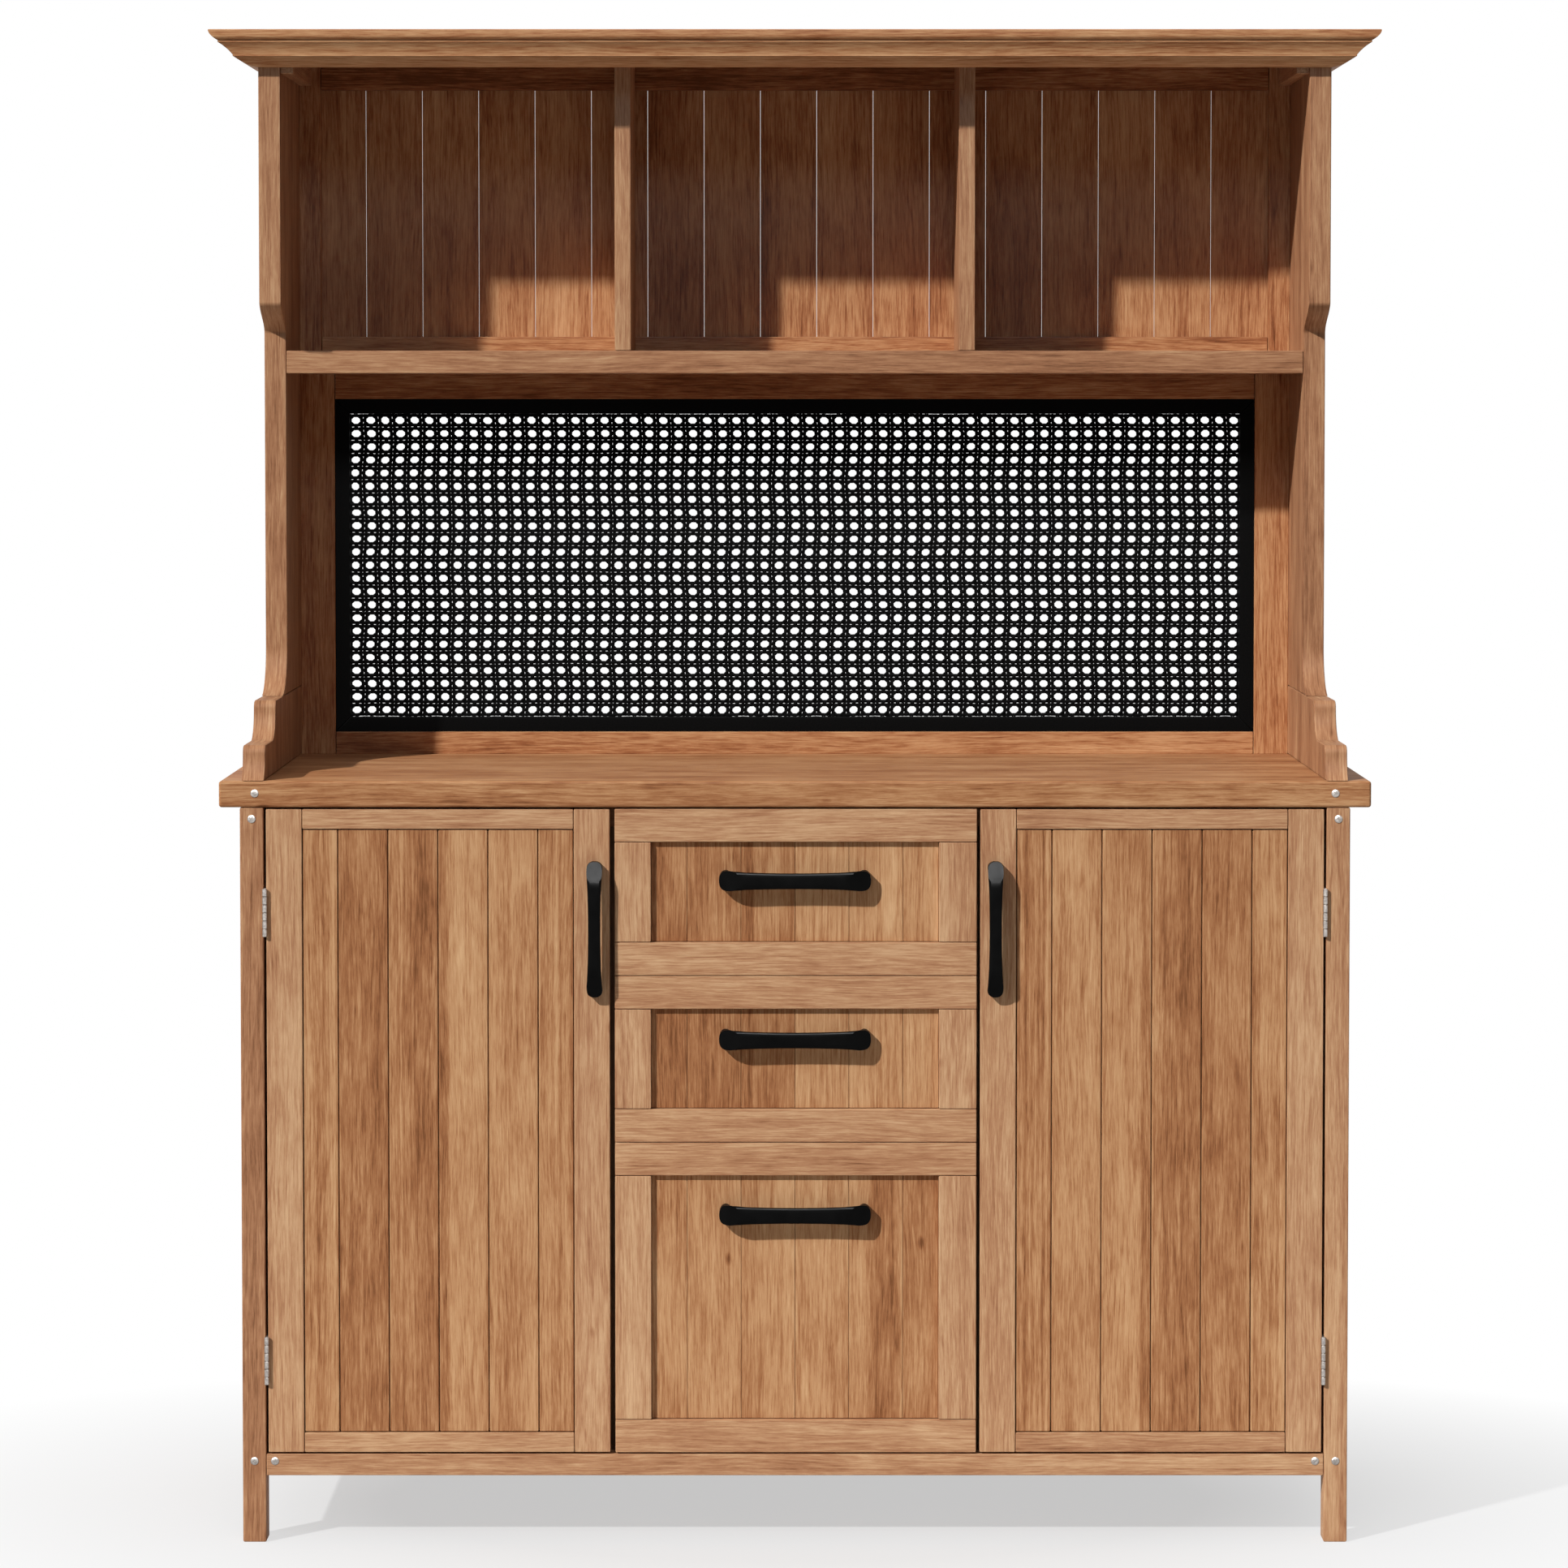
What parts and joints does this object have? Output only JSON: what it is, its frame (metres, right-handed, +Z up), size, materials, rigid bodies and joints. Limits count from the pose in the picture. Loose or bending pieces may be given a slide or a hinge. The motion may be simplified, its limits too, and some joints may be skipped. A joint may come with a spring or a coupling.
{
  "type": "garden storage cabinet",
  "caption": "Stained wood outdoor hutch cabinet with beadboard doors, sliding drawers, a counter, a black cane back panel and open cubbies under a stepped crown.",
  "frame": {"origin": "on the floor under the middle of the cabinet's bounding box", "axes": "+Z up, -Y towards the user who faces the doors, +X to that user's right"},
  "size_m": [1.274, 0.4294, 1.618],
  "materials": {
    "frame_wood": "brown wood stain, satin",
    "board_wood": "brown wood stain, satin",
    "back_wood": "dark brown wood stain, satin",
    "inner_wood": "plain light brown wood, matt",
    "black_metal": "matt black",
    "black_cane": "black woven cane-look strands",
    "zinc": "zinc plated"
  },
  "bodies": {
    "cabinet": {"front_left_leg": "frame_wood", "front_right_leg": "frame_wood", "rear_left_leg": "frame_wood", "rear_right_leg": "frame_wood", "front_bottom_rail": "frame_wood", "rear_bottom_rail": "frame_wood", "front_top_rail": "inner_wood", "left_side_panel": "board_wood", "right_side_panel": "board_wood", "base_back_panel": "board_wood", "floor_board": "inner_wood", "left_partition": "inner_wood", "right_partition": "inner_wood", "left_inner_shelf": "inner_wood", "right_inner_shelf": "inner_wood", "countertop": "frame_wood", "left_bracket": "frame_wood", "right_bracket": "frame_wood", "left_hutch_side": "frame_wood", "right_hutch_side": "frame_wood", "hutch_shelf": "frame_wood", "left_divider": "frame_wood", "right_divider": "frame_wood", "left_top_cleat": "frame_wood", "right_top_cleat": "frame_wood", "cubby_back_frame": "back_wood", "cubby_back_boards": "back_wood", "cane_frame": "back_wood", "cane_border": "black_cane", "cane_webbing": "black_cane", "front_crown": "frame_wood", "left_crown": "frame_wood", "right_crown": "frame_wood", "crown_cap": "frame_wood", "left_upper_hinge_leg_leaf": "zinc", "left_lower_hinge_leg_leaf": "zinc", "right_upper_hinge_leg_leaf": "zinc", "right_lower_hinge_leg_leaf": "zinc"},
    "left_door": {"left_door_frame": "frame_wood", "left_door_panel": "board_wood", "left_door_handle": "black_metal", "left_upper_hinge_door_leaf": "zinc", "left_lower_hinge_door_leaf": "zinc"},
    "right_door": {"right_door_frame": "frame_wood", "right_door_panel": "board_wood", "right_door_handle": "black_metal", "right_upper_hinge_door_leaf": "zinc", "right_lower_hinge_door_leaf": "zinc"},
    "top_drawer": {"top_drawer_frame": "frame_wood", "top_drawer_panel": "board_wood", "top_drawer_box": "inner_wood", "top_drawer_handle": "black_metal"},
    "middle_drawer": {"middle_drawer_frame": "frame_wood", "middle_drawer_panel": "board_wood", "middle_drawer_box": "inner_wood", "middle_drawer_handle": "black_metal"},
    "bottom_drawer": {"bottom_drawer_frame": "frame_wood", "bottom_drawer_panel": "board_wood", "bottom_drawer_box": "inner_wood", "bottom_drawer_handle": "black_metal"}
  },
  "joints": [
    {"name": "left_door_hinge", "type": "hinge", "parent": "cabinet", "child": "left_door", "pos_m": [-0.5617, -0.19845, 0.44], "axis": [0, 0, -1], "range_deg": [0, 170]},
    {"name": "right_door_hinge", "type": "hinge", "parent": "cabinet", "child": "right_door", "pos_m": [0.5617, -0.19845, 0.44], "axis": [0, 0, 1], "range_deg": [0, 170]},
    {"name": "top_drawer_slide", "type": "slide", "parent": "cabinet", "child": "top_drawer", "axis": [0, -1, 0], "range_m": [0, 0.27]},
    {"name": "middle_drawer_slide", "type": "slide", "parent": "cabinet", "child": "middle_drawer", "axis": [0, -1, 0], "range_m": [0, 0.27]},
    {"name": "bottom_drawer_slide", "type": "slide", "parent": "cabinet", "child": "bottom_drawer", "axis": [0, -1, 0], "range_m": [0, 0.27]}
  ]
}
